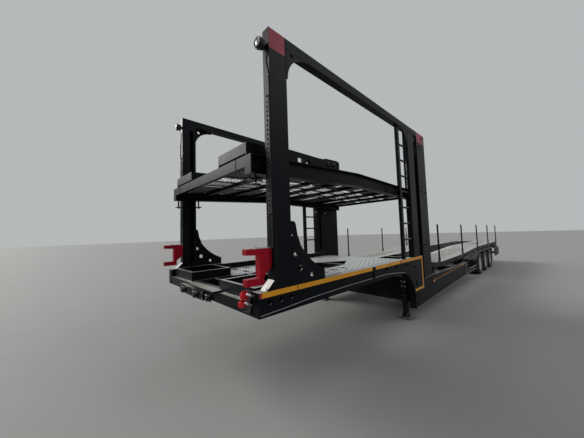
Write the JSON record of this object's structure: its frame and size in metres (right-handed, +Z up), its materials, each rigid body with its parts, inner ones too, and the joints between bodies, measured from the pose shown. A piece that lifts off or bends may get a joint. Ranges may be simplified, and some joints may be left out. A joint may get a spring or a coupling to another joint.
{
  "type": "car transporter semi-trailer",
  "caption": "Gooseneck car carrier semi-trailer with a lifting upper deck on four slotted posts, perforated wheel tracks, ladders and twin wheels on its axles.",
  "frame": {"origin": "centre of the bounding box on the ground", "axes": "+Y from the gooseneck's front to the tail, +X towards the trailer's own left side, +Z up"},
  "size_m": [2.55, 14.93, 3.8],
  "materials": {
    "black_paint": "satin black paint",
    "deck_plate": "dull galvanised",
    "red_paint": "gloss red paint",
    "bare_steel": "machined",
    "wheel_silver": "silver wheel paint",
    "tyre_rubber": "moulded rubber",
    "black_plastic": "moulded black",
    "rubber_flap": "matt rubber",
    "lamp_red": "clear red lens",
    "reflector_amber": "reflective amber tape",
    "lamp_clear": "clear lamp lens"
  },
  "bodies": {
    "trailer": {"gooseneck_sides": "black_paint", "gooseneck_frame": "black_paint", "frame_cross_members": "black_paint", "step_bulkhead": "black_paint", "low_side_beams": "black_paint", "chassis_beams": "black_paint", "rear_deck_rails": "black_paint", "rear_cross_members": "black_paint", "stanchions": "black_paint", "front_posts": "black_paint", "lock_racks": "black_paint", "rear_posts": "black_paint", "top_beams": "black_paint", "ladders": "black_paint", "wheel_troughs": "black_paint", "connector_panel": "black_paint", "landing_gear": "black_paint", "side_guards": "black_paint", "rear_bumper": "black_paint", "air_tanks": "black_paint", "axles": "black_paint", "front_deck_tracks": "deck_plate", "rear_deck_tracks": "deck_plate", "loading_ramps": "deck_plate", "front_brackets": "red_paint", "air_couplings": "red_paint", "kingpin": "bare_steel", "fenders": "black_plastic", "work_lamps": "black_plastic", "mudflaps": "rubber_flap", "rear_lamps": "lamp_red"},
    "upper_deck": {"upper_side_beams": "black_paint", "upper_cross_members": "black_paint", "upper_deck_tracks": "deck_plate", "upper_walkway": "deck_plate", "upper_wheel_boxes": "black_paint"},
    "wheel_1_left": {"rim_1_left": "wheel_silver", "tyres_1_left": "tyre_rubber"},
    "wheel_1_right": {"rim_1_right": "wheel_silver", "tyres_1_right": "tyre_rubber"},
    "wheel_2_left": {"rim_2_left": "wheel_silver", "tyres_2_left": "tyre_rubber"},
    "wheel_2_right": {"rim_2_right": "wheel_silver", "tyres_2_right": "tyre_rubber"},
    "wheel_3_left": {"rim_3_left": "wheel_silver", "tyres_3_left": "tyre_rubber"},
    "wheel_3_right": {"rim_3_right": "wheel_silver", "tyres_3_right": "tyre_rubber"}
  },
  "joints": [
    {"name": "upper_deck_lift", "type": "slide", "parent": "trailer", "child": "upper_deck", "axis": [0, 0, 1], "range_m": [-0.95, 0.65]},
    {"name": "wheel_1_left_spin", "type": "hinge", "parent": "trailer", "child": "wheel_1_left", "pos_m": [0.986, 2.785, 0.395], "axis": [1, 0, 0], "continuous": true},
    {"name": "wheel_1_right_spin", "type": "hinge", "parent": "trailer", "child": "wheel_1_right", "pos_m": [-0.986, 2.785, 0.395], "axis": [1, 0, 0], "continuous": true},
    {"name": "wheel_2_left_spin", "type": "hinge", "parent": "trailer", "child": "wheel_2_left", "pos_m": [0.986, 3.905, 0.395], "axis": [1, 0, 0], "continuous": true},
    {"name": "wheel_2_right_spin", "type": "hinge", "parent": "trailer", "child": "wheel_2_right", "pos_m": [-0.986, 3.905, 0.395], "axis": [1, 0, 0], "continuous": true},
    {"name": "wheel_3_left_spin", "type": "hinge", "parent": "trailer", "child": "wheel_3_left", "pos_m": [0.986, 5.025, 0.395], "axis": [1, 0, 0], "continuous": true},
    {"name": "wheel_3_right_spin", "type": "hinge", "parent": "trailer", "child": "wheel_3_right", "pos_m": [-0.986, 5.025, 0.395], "axis": [1, 0, 0], "continuous": true}
  ]
}
